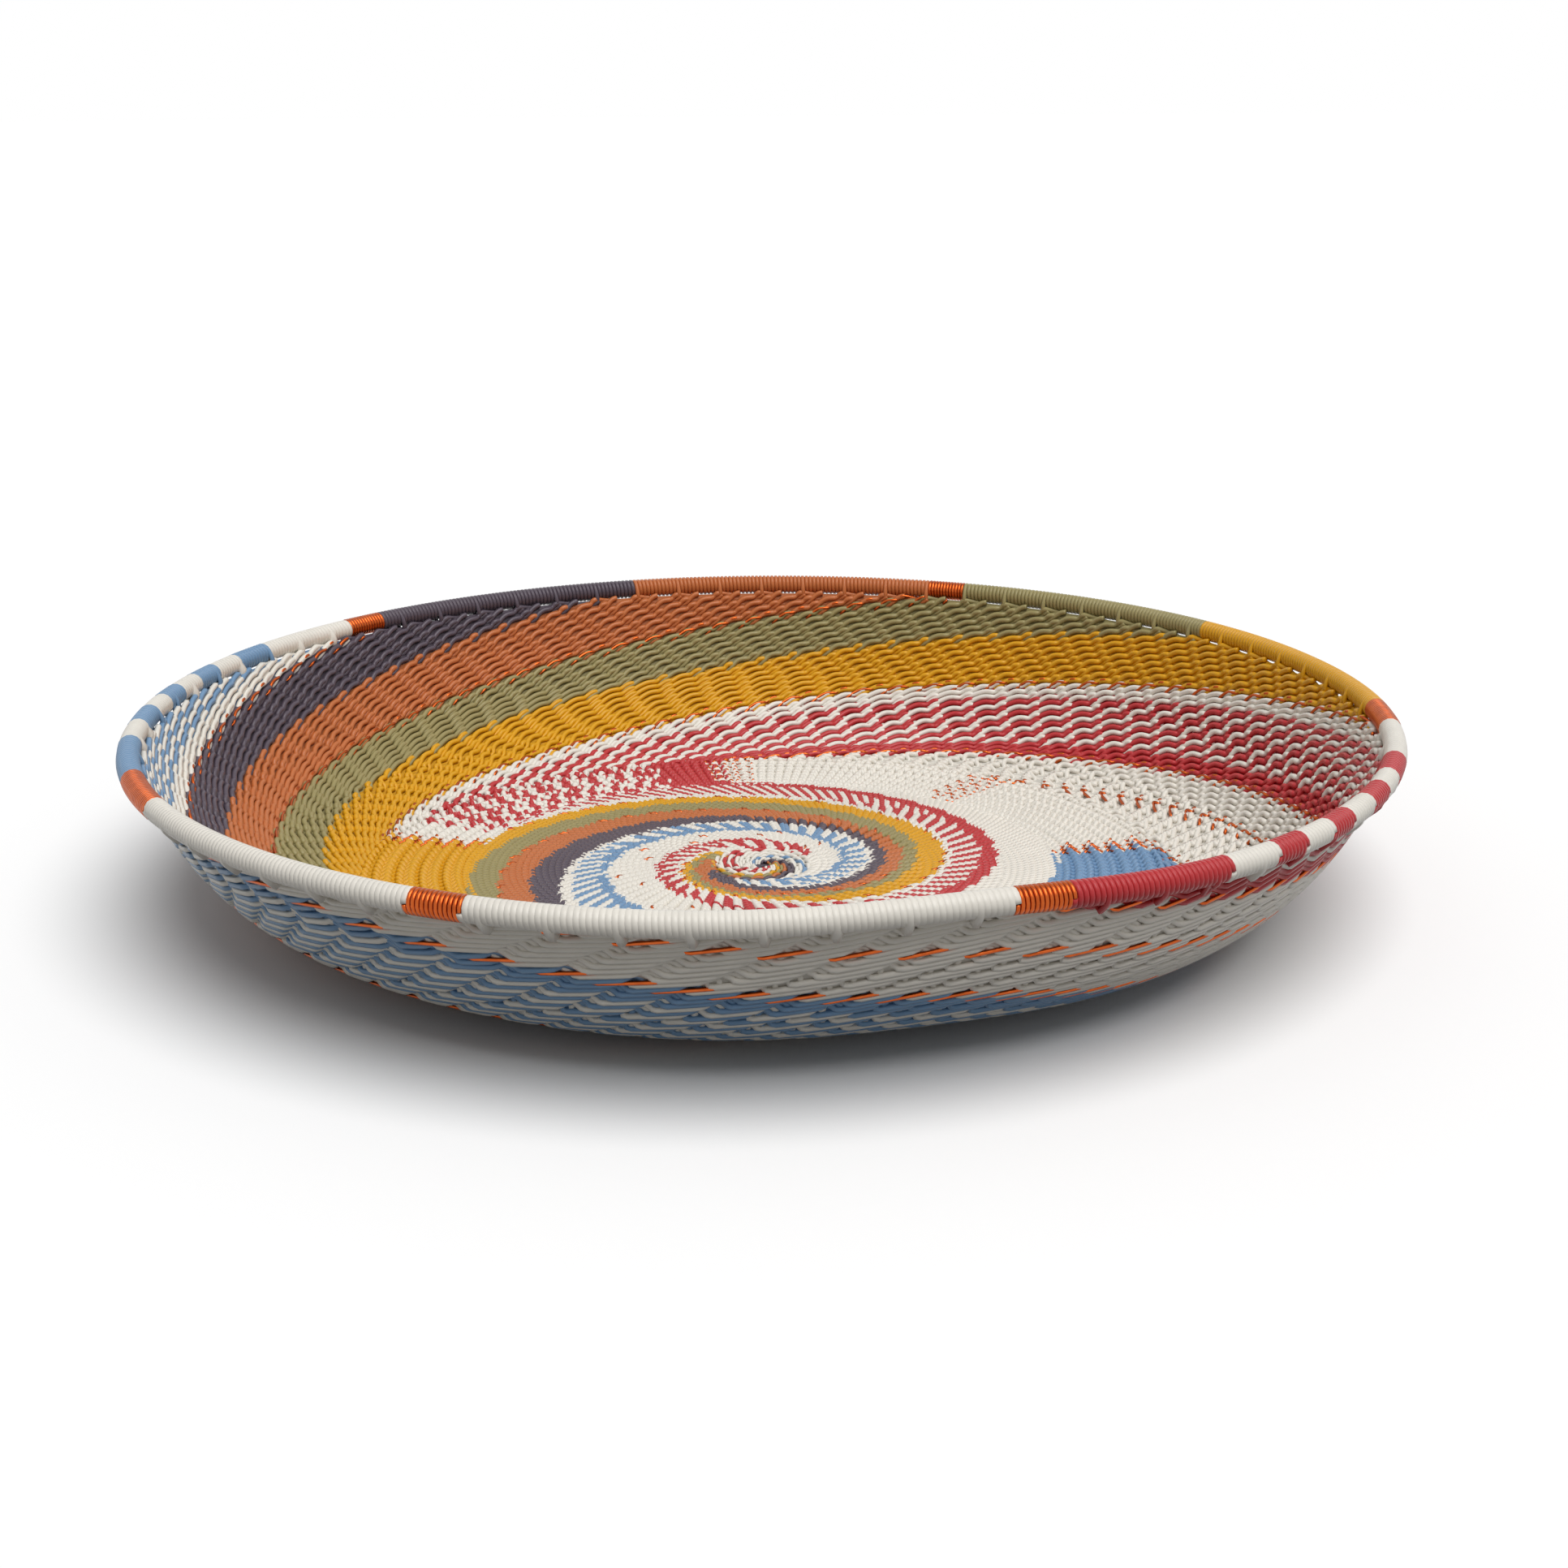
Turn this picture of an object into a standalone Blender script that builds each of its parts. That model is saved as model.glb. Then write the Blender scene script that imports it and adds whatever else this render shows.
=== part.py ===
"""Round tray woven from coloured wire, with a wrapped hoop for its rim.

The weave is one dished sheet.  Eight colours of wire spiral through it side by side: they run
outwards one way round on the flat floor, turn in a ring where the floor meets the wall, and climb
the wall the other way round.  Each colour is its own solid on the floor and on the wall.  The rim
is a steel hoop, bound all the way round with lengths of wire of changing colour.

Metres, +Z up.  The origin is on the table, under the middle of the tray.
"""
import math

import bpy
import numpy as np

# Driving dimensions
rim_radius = 0.138            # hoop centreline, seen from above
rim_height = 0.0385           # hoop centreline above the table
base_radius = 0.0704          # flat part that stands on the table
weave_thickness = 0.0024      # two layers of crossing wire
hoop_wire_radius = 0.0015     # steel hoop inside the rim
wrap_radius = 0.0026          # outside of the wire wound on the hoop
clearance = 0.0003            # between pieces that touch
dimple_depth = 0.0006         # hollow in the first knot, where the wires start
curve_at_base = 0.0414        # how far the wall's curve is drawn out along the table
curve_at_rim = 0.0324         # how far it is drawn out below the rim
rim_slope = 67.0              # degrees, steepness of the wall where it meets the rim
rim_lift = 0.0019             # the hand-bent hoop rises a little at one place
rim_lift_at = 286.0           # degrees round the rim, counted from +X
rim_lift_spread = 14.0        # degrees

# Copper bindings, the wound lengths between two colours
copper_wire_radius = 0.0004
copper_turns = 5
copper_points_per_turn = 14
copper_end_margin = 0.0009    # from the end of the coil to the neighbouring wrap

# The rings, as shares of the rim radius measured along the inside of the weave
start_share = 0.10            # edge of the first knot
turn_share = 0.50             # where the floor's spiral stops and the ring of turns starts
floor_oval_share = 0.08       # the spiral was started slightly oval
dimple_share = 0.25           # of the first knot's radius
shoulder_share = 0.50         # of the first knot's radius
lift_from_share = 0.60        # the rim's rise fades out down to here

# Where each colour begins, in degrees, on rings of growing size.  Each row follows one edge
# from the middle of the floor to the rim, so the rows of one ring always rise.
ring_shares = [0.10, 0.20, 0.30, 0.40, 0.50, 0.68, 0.76, 0.84, 0.92, 1.00, 1.09]
colour_edges = {
    "mustard": [-215, -87, -4, 93, 168, 166, 118, 89, 60, 29, -4],
    "olive": [-203, -60, 38, 122, 198, 196, 164, 130, 99, 69, 29],
    "terracotta": [-184, -42, 75, 160, 235, 232, 204, 173, 133, 100, 68],
    "plum": [-150, -6, 120, 200, 262, 260, 238, 212, 180, 140, 108],
    "blue": [-115, 25, 168, 225, 290, 288, 268, 244, 212, 179, 140],
    "white_left": [-45, 118, 228, 292, 362, 362, 345, 322, 294, 259, 212],
    "white_front": [15, 181, 257, 323, 404, 392, 368, 349, 328, 300, 246],
    "red": [45, 222, 298, 367, 452, 427, 403, 380, 353, 331, 290],
}

# Lengths of wire wound on the hoop, clockwise seen from above: colour and the angle it ends at
rim_start = 210.9
rim_wraps = [
    ("copper", 201.9), ("blue", 190.6), ("white", 185.0), ("blue", 180.0), ("white", 176.0),
    ("blue", 172.2), ("white", 168.2), ("blue", 164.2), ("white", 160.0), ("blue", 154.8),
    ("white", 142.1), ("copper", 137.4), ("plum", 105.1), ("terracotta", 69.7), ("copper", 65.4),
    ("olive", 33.4), ("mustard", -1.2), ("copper", -8.2), ("white", -18.9), ("red", -24.2),
    ("white", -28.1), ("red", -32.3), ("white", -36.8), ("red", -40.4), ("white", -44.5),
    ("red", -48.2), ("white", -53.5), ("red", -67.8), ("copper", -72.2), ("white", -111.5),
    ("copper", -116.0), ("white", -149.1),
]

# Mesh steps
wall_step = 7.5               # degrees round the tray
row_turn = 9.5                # degrees that an edge turns in one row of the wall
row_share = 0.045             # longest row of the wall
floor_step = 9.0              # degrees
hoop_steps = 60
hoop_sides = 6
wrap_step = 5.0               # degrees
wrap_sides = 10
bore_sides = 8
start_steps = 36
profile_steps = 240
crease_angle = 35.0           # degrees, sharper edges are shaded as edges

# Colours, roughness and metallic of each finish
finishes = {
    "mustard": ((0.59, 0.29, 0.012), 0.38, 0.0),
    "olive": ((0.235, 0.195, 0.085), 0.42, 0.0),
    "terracotta": ((0.44, 0.125, 0.04), 0.40, 0.0),
    "plum": ((0.075, 0.055, 0.075), 0.42, 0.0),
    "blue": ((0.16, 0.28, 0.45), 0.38, 0.0),
    "white": ((0.78, 0.76, 0.70), 0.36, 0.0),
    "red": ((0.37, 0.03, 0.035), 0.38, 0.0),
    "copper": ((0.62, 0.22, 0.06), 0.28, 1.0),
    "steel": ((0.45, 0.45, 0.44), 0.45, 1.0),
}


def clear_scene():
    for obj in list(bpy.data.objects):
        bpy.data.objects.remove(obj, do_unlink=True)


def make_material(colour):
    name = colour + "_wire"
    found = bpy.data.materials.get(name)
    if found:
        return found
    tint, roughness, metallic = finishes[colour]
    material = bpy.data.materials.new(name)
    material.use_nodes = True
    shader = material.node_tree.nodes["Principled BSDF"]
    shader.inputs["Base Color"].default_value = (*tint, 1.0)
    shader.inputs["Roughness"].default_value = roughness
    shader.inputs["Metallic"].default_value = metallic
    material.diffuse_color = (*tint, 1.0)
    return material


def add_solid(name, points, faces, colour):
    mesh = bpy.data.meshes.new(name)
    mesh.from_pydata([tuple(p) for p in points], [], faces)
    mesh.update()
    mesh.shade_smooth()
    mesh.set_sharp_from_angle(angle=math.radians(crease_angle))
    mesh.materials.append(make_material(colour))
    obj = bpy.data.objects.new(name, mesh)
    bpy.context.scene.collection.objects.link(obj)
    return obj


def smooth_step(low, high, value):
    share = min(1.0, max(0.0, (value - low) / (high - low)))
    return share * share * (3.0 - 2.0 * share)


# The dish: a flat base, one curve up the wall, and the arc length along its inside
class Dish:
    def __init__(self):
        slope = math.radians(rim_slope)
        corners = np.array([
            (base_radius, 0.0),
            (base_radius + curve_at_base, 0.0),
            (rim_radius - curve_at_rim * math.cos(slope), rim_height - curve_at_rim * math.sin(slope)),
            (rim_radius, rim_height),
        ])
        t = np.linspace(0.0, 1.0, profile_steps)[:, None]
        weights = np.hstack([(1 - t) ** 3, 3 * t * (1 - t) ** 2, 3 * t * t * (1 - t), t ** 3])
        self.outer = np.vstack([[(0.0, 0.0)], weights @ corners])
        step = np.gradient(self.outer[1:], axis=0)
        inward = np.stack([-step[:, 1], step[:, 0]], axis=1)
        inward /= np.linalg.norm(inward, axis=1)[:, None]
        self.inward = np.vstack([[(0.0, 1.0)], inward])
        inside = self.outer + self.inward * weave_thickness
        legs = np.linalg.norm(np.diff(inside, axis=0), axis=1)
        self.length = np.concatenate([[0.0], np.cumsum(legs)])

    def point(self, along, depth):
        """Radius and height at a length along the inside, a depth below its inner face."""
        outer = [np.interp(along, self.length, self.outer[:, k]) for k in (0, 1)]
        inward = [np.interp(along, self.length, self.inward[:, k]) for k in (0, 1)]
        rise = weave_thickness - depth
        return outer[0] + inward[0] * rise, outer[1] + inward[1] * rise

    def top(self):
        """Length along the inside where the weave stops, just under the wound rim."""
        reach = wrap_radius + clearance
        for along in self.length[::-1]:
            if all(math.dist(self.point(along, depth), (rim_radius, rim_height)) > reach
                   for depth in (0.0, weave_thickness)):
                return along
        return self.length[-1]


dish = Dish()


def lift(angle):
    """Height that the hand-bent hoop gains at an angle in degrees."""
    away = (angle - rim_lift_at + 180.0) % 360.0 - 180.0
    return rim_lift * math.exp(-(away / rim_lift_spread) ** 2)


def sheet_point(angle, along, depth):
    """A point of the weave, from its angle in degrees and its length along the inside."""
    share = along / rim_radius
    oval = smooth_step(start_share, 2 * start_share, share)
    oval *= 1.0 - smooth_step(turn_share - start_share, turn_share, share)
    turn = math.radians(angle)
    pulled = along * (1.0 - floor_oval_share * oval * math.sin(turn) ** 2)
    radius, height = dish.point(pulled, depth)
    height += lift(angle) * smooth_step(lift_from_share, 1.0, share)
    return radius * math.cos(turn), radius * math.sin(turn), height


# Colour edges: a smooth curve through the angles given at the rings, with a corner at the turn
def ring_slope(values, ring, stretch):
    """Degrees per share of a colour edge at a ring, on the stretch next to it."""
    steps = np.diff(values) / np.diff(ring_shares)
    if ring in (0, len(values) - 1) or ring_shares[ring] == turn_share:
        return steps[stretch]
    before, after = steps[ring - 1], steps[ring]
    if before * after <= 0.0:
        return 0.0
    return 2.0 * before * after / (before + after)


def edge_angle(values, share):
    """Angle of a colour edge, in degrees, and its change along the sheet."""
    k = int(np.clip(np.searchsorted(ring_shares, share) - 1, 0, len(ring_shares) - 2))
    width = ring_shares[k + 1] - ring_shares[k]
    leave = ring_slope(values, k, k) * width
    arrive = ring_slope(values, k + 1, k) * width
    u = (share - ring_shares[k]) / width
    v = 1.0 - u
    angle = (values[k] * (1 + 2 * u) * v * v + leave * u * v * v
             + values[k + 1] * u * u * (3 - 2 * u) - arrive * u * u * v)
    change = (6 * u * v * (values[k + 1] - values[k])
              + leave * v * (1 - 3 * u) + arrive * u * (3 * u - 2))
    return angle, change / width


def bands():
    """Each colour with its own edge and its next neighbour's edge."""
    names = list(colour_edges)
    for k, name in enumerate(names):
        low = np.array(colour_edges[name], dtype=float)
        after = colour_edges[names[(k + 1) % len(names)]]
        high = np.array(after, dtype=float) + (360.0 if k == len(names) - 1 else 0.0)
        yield name, low, high


def close_grid(rows, cols):
    """Faces of a closed slab from an inner and an outer grid of rows by cols points."""
    layer = rows * cols
    faces = []
    for r in range(rows - 1):
        for c in range(cols - 1):
            a = r * cols + c
            quad = (a, a + cols, a + cols + 1, a + 1)
            faces.append(quad)
            faces.append(tuple(layer + v for v in reversed(quad)))
    rim = [c for c in range(cols)]
    rim += [r * cols + cols - 1 for r in range(1, rows)]
    rim += [(rows - 1) * cols + c for c in range(cols - 2, -1, -1)]
    rim += [r * cols for r in range(rows - 2, 0, -1)]
    for k, a in enumerate(rim):
        b = rim[(k + 1) % len(rim)]
        faces.append((a, b, b + layer, a + layer))
    return faces


def split_quads(points, faces):
    """Cuts each four-sided face along its shorter diagonal."""
    cut = []
    for face in faces:
        a, b, c, d = (np.array(points[v]) for v in face)
        if np.linalg.norm(a - c) <= np.linalg.norm(b - d):
            cut += [(face[0], face[1], face[2]), (face[0], face[2], face[3])]
        else:
            cut += [(face[0], face[1], face[3]), (face[1], face[2], face[3])]
    return cut


def half_gap_angle(radius, slope):
    """Degrees that set an edge back by half a clearance, for an edge that crosses rings at a slope."""
    run = radius * math.radians(slope) / rim_radius
    return math.degrees(0.5 * clearance * math.hypot(1.0, run) / radius)


def wall_lengths():
    """Rows of the wall, closer together where the colour edges turn fast."""
    first = turn_share * rim_radius + 0.5 * clearance
    lengths = np.linspace(first, dish.top(), profile_steps)
    pace = []
    for along in lengths:
        fastest = max(abs(edge_angle(edge, along / rim_radius)[1]) for edge in colour_edges.values())
        pace.append(max(fastest / row_turn, 1.0 / row_share) / rim_radius)
    legs = 0.5 * (np.array(pace[1:]) + np.array(pace[:-1])) * np.diff(lengths)
    travel = np.concatenate([[0.0], np.cumsum(legs)])
    count = math.ceil(travel[-1])
    return np.interp(np.linspace(0.0, travel[-1], count + 1), travel, lengths)


def wall_band(name, low, high, colour, lengths):
    cols = 1 + math.ceil((high[-1] - low[-1]) / wall_step)
    grids = ([], [])
    for along in lengths:
        share = along / rim_radius
        start, start_slope = edge_angle(low, share)
        end, end_slope = edge_angle(high, share)
        radius = dish.point(along, 0.0)[0]
        start += half_gap_angle(radius, start_slope)
        end -= half_gap_angle(radius, end_slope)
        for c in range(cols):
            angle = start + (end - start) * c / (cols - 1)
            grids[0].append(sheet_point(angle, along, 0.0))
            grids[1].append(sheet_point(angle, along, weave_thickness))
    points = grids[0] + grids[1]
    faces = split_quads(points, close_grid(len(lengths), cols))
    add_solid(name + "_wall", points, faces, colour)


def edge_lengths(values):
    """The floor part of an edge as angles with their lengths along the sheet."""
    shares = np.linspace(start_share, turn_share, profile_steps)
    angles = [edge_angle(values, share)[0] for share in shares]
    return np.array(angles), shares * rim_radius


def floor_band(name, low, high, colour):
    first = start_share * rim_radius + 0.5 * clearance
    last = turn_share * rim_radius - 0.5 * clearance
    low_angles, low_lengths = edge_lengths(low)
    high_angles, high_lengths = edge_lengths(high)

    def sides(angle):
        inner = np.interp(angle, high_angles, high_lengths)
        outer = np.interp(angle, low_angles, low_lengths)
        lean_in = half_gap_angle(inner, edge_angle(high, inner / rim_radius)[1])
        lean_out = half_gap_angle(outer, edge_angle(low, outer / rim_radius)[1])
        inner = max(first, np.interp(angle + lean_in, high_angles, high_lengths))
        outer = min(last, np.interp(angle - lean_out, low_angles, low_lengths))
        return outer, inner

    wide = [angle for angle in np.linspace(low_angles[0], high_angles[-1], profile_steps)
            if np.subtract(*sides(angle)) > clearance]
    turns = [floor_step * k for k in range(math.ceil(wide[0] / floor_step),
                                           math.floor(wide[-1] / floor_step) + 1)]
    turns = sorted({wide[0], *turns, wide[-1]})
    grids = ([], [])
    for angle in turns:
        for along in sides(angle):
            grids[0].append(sheet_point(angle, along, 0.0))
            grids[1].append(sheet_point(angle, along, weave_thickness))
    points = grids[0] + grids[1]
    add_solid(name + "_floor", points, split_quads(points, close_grid(len(turns), 2)), colour)


def start_knot():
    """The first turns in the middle of the floor: a flat disc with a small dimple."""
    edge = start_share * rim_radius - 0.5 * clearance
    rings = [(dimple_share * edge, weave_thickness - 0.5 * dimple_depth),
             (shoulder_share * edge, weave_thickness), (edge, weave_thickness), (edge, 0.0)]
    points = [(0.0, 0.0, weave_thickness - dimple_depth), (0.0, 0.0, 0.0)]
    for radius, height in rings:
        for k in range(start_steps):
            turn = 2.0 * math.pi * k / start_steps
            points.append((radius * math.cos(turn), radius * math.sin(turn), height))
    faces = []
    for k in range(start_steps):
        after = (k + 1) % start_steps
        faces.append((0, 2 + k, 2 + after))
        for ring in range(len(rings) - 1):
            a, b = 2 + ring * start_steps + k, 2 + ring * start_steps + after
            faces.append((a, a + start_steps, b + start_steps, b))
        last = 2 + (len(rings) - 1) * start_steps
        faces.append((1, last + after, last + k))
    add_solid("start_knot", points, faces, "white")


# The rim: everything on it is placed by an angle and a place round the hoop's own section
def rim_point(angle, around, distance):
    turn = math.radians(angle)
    reach = rim_radius + distance * math.cos(around)
    return (reach * math.cos(turn), reach * math.sin(turn),
            rim_height + lift(angle) + distance * math.sin(around))


def rim_hoop():
    points = []
    faces = []
    for k in range(hoop_steps):
        for s in range(hoop_sides):
            around = 2.0 * math.pi * s / hoop_sides
            points.append(rim_point(360.0 * k / hoop_steps, around, hoop_wire_radius))
            after_k, after_s = (k + 1) % hoop_steps, (s + 1) % hoop_sides
            faces.append((k * hoop_sides + s, after_k * hoop_sides + s,
                          after_k * hoop_sides + after_s, k * hoop_sides + after_s))
    add_solid("rim_hoop", points, faces, "steel")


def ring_bridge(first, first_sides, second, second_sides):
    """Triangles between two rings of unlike counts that face each other."""
    faces = []
    i = j = 0
    while i < first_sides or j < second_sides:
        a, b = first + i % first_sides, second + j % second_sides
        if j == second_sides or (i < first_sides and (i + 1) / first_sides <= (j + 1) / second_sides):
            faces.append((a, first + (i + 1) % first_sides, b))
            i += 1
        else:
            faces.append((a, second + (j + 1) % second_sides, b))
            j += 1
    return faces


def rim_wrap(name, start, end, colour):
    """A length of wire wound turn by turn on the hoop, as one sleeve."""
    gap = math.degrees(0.5 * clearance / (rim_radius - wrap_radius))
    steps = max(1, math.ceil((start - end) / wrap_step))
    bore = (hoop_wire_radius + clearance) / math.cos(math.pi / bore_sides)
    points = []
    faces = []
    stride = wrap_sides + bore_sides
    for k in range(steps + 1):
        angle = (end + gap) + (start - end - 2.0 * gap) * k / steps
        for sides, distance in ((wrap_sides, wrap_radius), (bore_sides, bore)):
            for s in range(sides):
                points.append(rim_point(angle, 2.0 * math.pi * s / sides, distance))
    for k in range(steps):
        for s in range(wrap_sides):
            a, b = k * stride + s, k * stride + (s + 1) % wrap_sides
            faces.append((a, a + stride, b + stride, b))
        for s in range(bore_sides):
            a, b = k * stride + wrap_sides + s, k * stride + wrap_sides + (s + 1) % bore_sides
            faces.append((a, b, b + stride, a + stride))
    faces += ring_bridge(0, wrap_sides, wrap_sides, bore_sides)
    last = steps * stride
    faces += [tuple(reversed(f)) for f in ring_bridge(last, wrap_sides, last + wrap_sides, bore_sides)]
    add_solid(name, points, faces, colour)


def copper_binding(name, start, end):
    """Bare copper wire wound on the hoop in open turns, as one unbroken tube."""
    margin = math.degrees((copper_end_margin + copper_wire_radius) / rim_radius)
    distance = hoop_wire_radius + clearance / math.cos(math.pi / hoop_sides) + copper_wire_radius
    first, last = start - margin, end + margin
    count = copper_turns * copper_points_per_turn
    path = []
    for k in range(count + 1):
        around = 2.0 * math.pi * k / copper_points_per_turn
        path.append(np.array(rim_point(first + (last - first) * k / count, around, distance)))
    curve = bpy.data.curves.new(name, "CURVE")
    curve.dimensions = "3D"
    curve.bevel_depth = copper_wire_radius
    curve.bevel_resolution = 1
    curve.use_fill_caps = True
    spline = curve.splines.new("POLY")
    spline.points.add(len(path) - 1)
    for place, point in zip(path, spline.points):
        point.co = (*place, 1.0)
    spline.use_smooth = True
    curve.materials.append(make_material("copper"))
    obj = bpy.data.objects.new(name, curve)
    bpy.context.scene.collection.objects.link(obj)
    return least_gap(path)


def least_gap(path):
    """Smallest clear distance between one turn and the turns after it."""
    places = np.array(path)
    skip = copper_points_per_turn // 2
    best = min(np.linalg.norm(places[k + skip:] - places[k], axis=1).min()
               for k in range(len(places) - skip))
    return best - 2.0 * copper_wire_radius


def build_weave():
    lengths = wall_lengths()
    for name, low, high in bands():
        colour = name.split("_")[0]
        floor_band(name, low, high, colour)
        wall_band(name, low, high, colour, lengths)
    start_knot()


def build_rim():
    rim_hoop()
    counts = {}
    gaps = []
    start = rim_start
    for colour, end in rim_wraps:
        counts[colour] = counts.get(colour, 0) + 1
        name = "rim_" + colour + "_" + str(counts[colour])
        if colour == "copper":
            gaps.append(copper_binding(name, start, end))
        else:
            rim_wrap(name, start, end, colour)
        start = end
    print("least gap inside a copper binding: %.2f mm" % (1000.0 * min(gaps)))


clear_scene()
build_weave()
build_rim()
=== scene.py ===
import math
import bpy
import numpy as np
from mathutils import Matrix, Vector


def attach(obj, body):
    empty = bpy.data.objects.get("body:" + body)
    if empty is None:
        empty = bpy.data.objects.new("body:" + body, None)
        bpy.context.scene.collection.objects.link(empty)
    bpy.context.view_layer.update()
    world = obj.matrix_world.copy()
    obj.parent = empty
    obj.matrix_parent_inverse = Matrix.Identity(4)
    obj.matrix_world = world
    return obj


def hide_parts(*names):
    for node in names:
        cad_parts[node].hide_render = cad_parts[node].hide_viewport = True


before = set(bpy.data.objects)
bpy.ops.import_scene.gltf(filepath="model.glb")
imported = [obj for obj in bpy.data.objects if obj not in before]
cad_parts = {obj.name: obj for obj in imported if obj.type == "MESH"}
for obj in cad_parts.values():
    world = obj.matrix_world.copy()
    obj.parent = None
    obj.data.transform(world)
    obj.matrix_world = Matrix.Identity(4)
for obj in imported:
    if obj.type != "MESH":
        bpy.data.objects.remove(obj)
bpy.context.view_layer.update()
wireSides = 6
print("stage: frame loaded")

# Shape of the tray, in metres: the same curved shell as the part's. A place on it is an angle
# in degrees, from +X, and a share of the rim radius along the inside, from the centre out.
tray = {
    "rimRadius": 0.138,
    "rimHeight": 0.0385,
    "baseRadius": 0.0704,
    "thickness": 0.0024,
    "curveAtBase": 0.0414,
    "curveAtRim": 0.0324,
    "rimSlope": 67.0,
    "curveSteps": 240,
    "rimLift": 0.0019,
    "rimLiftAt": 286.0,
    "rimLiftSpread": 14.0,
    "rimLiftFrom": 0.6,
    "oval": 0.085,
    "ovalStart": (0.10, 0.20),
    "ovalEnd": (0.68, 0.90),
}
ringShares = [0.10, 0.20, 0.30, 0.40, 0.50, 0.68, 0.76, 0.84, 0.92, 1.00, 1.09]
turnRing = 4    # the ring where the floor's spiral turns over
bandOrder = ["mustard", "olive", "terracotta", "plum", "blue", "white_left", "white_front", "red"]
# start angle of each colour band at the rings; the next band's start is its end
bandEdges = {
    "mustard": [-215, -87, -4, 93, 168, 166, 118, 89, 60, 29, -4],
    "olive": [-203, -60, 38, 122, 198, 196, 164, 130, 99, 69, 29],
    "terracotta": [-184, -42, 75, 160, 235, 232, 204, 173, 133, 100, 68],
    "plum": [-150, -6, 120, 200, 262, 260, 238, 212, 180, 140, 108],
    "blue": [-115, 25, 168, 225, 290, 288, 268, 244, 212, 179, 140],
    "white_left": [-45, 118, 228, 292, 362, 362, 345, 322, 294, 259, 212],
    "white_front": [15, 181, 257, 323, 404, 392, 368, 349, 328, 300, 246],
    "red": [45, 222, 298, 367, 452, 427, 403, 380, 353, 331, 290],
}


def smoothStep(low, high, value):
    share = np.clip((value - low) / (high - low), 0.0, 1.0)
    return share * share * (3 - 2 * share)


def shellProfile():
    # outside of the weave in section, its inward normals, and the length along the inside
    slope = math.radians(tray["rimSlope"])
    radius, height = tray["rimRadius"], tray["rimHeight"]
    corners = np.array([
        (tray["baseRadius"], 0.0),
        (tray["baseRadius"] + tray["curveAtBase"], 0.0),
        (radius - tray["curveAtRim"] * math.cos(slope),
         height - tray["curveAtRim"] * math.sin(slope)),
        (radius, height),
    ])
    t = np.linspace(0.0, 1.0, tray["curveSteps"])[:, None]
    weights = np.hstack([(1 - t) ** 3, 3 * t * (1 - t) ** 2, 3 * t * t * (1 - t), t ** 3])
    curve = weights @ corners
    step = np.gradient(curve, axis=0)
    inward = np.stack([-step[:, 1], step[:, 0]], axis=1)
    inward /= np.linalg.norm(inward, axis=1)[:, None]
    outer = np.vstack([[(0.0, 0.0)], curve])
    inward = np.vstack([[(0.0, 1.0)], inward])
    legs = np.linalg.norm(np.diff(outer + inward * tray["thickness"], axis=0), axis=1)
    return outer, inward, np.concatenate([[0.0], np.cumsum(legs)])


outerCurve, inwardCurve, curveLength = shellProfile()


def rimLiftAt(angle):
    # the hand-bent hoop rises a little at one place
    away = (angle - tray["rimLiftAt"] + 180.0) % 360.0 - 180.0
    return tray["rimLift"] * np.exp(-(away / tray["rimLiftSpread"]) ** 2)


def onShell(angle, share, height):
    # point and inward normal at a height above the middle of the weave
    turn = np.radians(angle)
    oval = smoothStep(*tray["ovalStart"], share) * (1 - smoothStep(*tray["ovalEnd"], share))
    along = share * tray["rimRadius"] * (1 - tray["oval"] * oval * np.sin(turn) ** 2)
    outX = np.interp(along, curveLength, outerCurve[:, 0])
    outZ = np.interp(along, curveLength, outerCurve[:, 1])
    inX = np.interp(along, curveLength, inwardCurve[:, 0])
    inZ = np.interp(along, curveLength, inwardCurve[:, 1])
    rise = tray["thickness"] / 2 + height
    radius = outX + inX * rise
    lift = rimLiftAt(angle) * smoothStep(tray["rimLiftFrom"], 1.0, share)
    cosine, sine = np.cos(turn), np.sin(turn)
    points = np.stack([radius * cosine, radius * sine, outZ + inZ * rise + lift], axis=-1)
    normals = np.stack([inX * cosine, inX * sine, inZ], axis=-1)
    return points, normals


def edgeAngle(name, share):
    # smooth run of a band's start angle over the rings, with a corner at the turn ring
    rings = np.array(ringShares)
    values = np.array(bandEdges[name], dtype=float)
    legs = np.diff(values) / np.diff(rings)
    leaving = np.zeros(len(values))
    arriving = np.zeros(len(values))
    leaving[0] = legs[0]
    arriving[-1] = legs[-1]
    for at in range(1, len(values) - 1):
        low, high = legs[at - 1], legs[at]
        mean = 2 * low * high / (low + high) if low * high > 0 else 0.0
        leaving[at] = high if at == turnRing else mean
        arriving[at] = low if at == turnRing else mean
    share = np.asarray(share, dtype=float)
    place = np.clip(np.searchsorted(rings, share, side="right") - 1, 0, len(rings) - 2)
    width = rings[place + 1] - rings[place]
    t = np.clip((share - rings[place]) / width, 0.0, 1.0)
    inside = (values[place] * (2 * t ** 3 - 3 * t ** 2 + 1)
              + values[place + 1] * (3 * t ** 2 - 2 * t ** 3)
              + leaving[place] * width * (t ** 3 - 2 * t ** 2 + t)
              + arriving[place + 1] * width * (t ** 3 - t ** 2))
    before = np.minimum(share - rings[0], 0.0) * legs[0]
    after = np.maximum(share - rings[-1], 0.0) * legs[-1]
    return inside + before + after


def nextBand(name):
    # the band that follows, and the degrees that it gains by starting a new lap
    at = bandOrder.index(name) + 1
    return bandOrder[at % len(bandOrder)], 360.0 * (at // len(bandOrder))


def bandSpan(name, share):
    # where a band starts and ends on the floor
    follower, lap = nextBand(name)
    return edgeAngle(name, share), edgeAngle(follower, share) + lap


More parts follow.
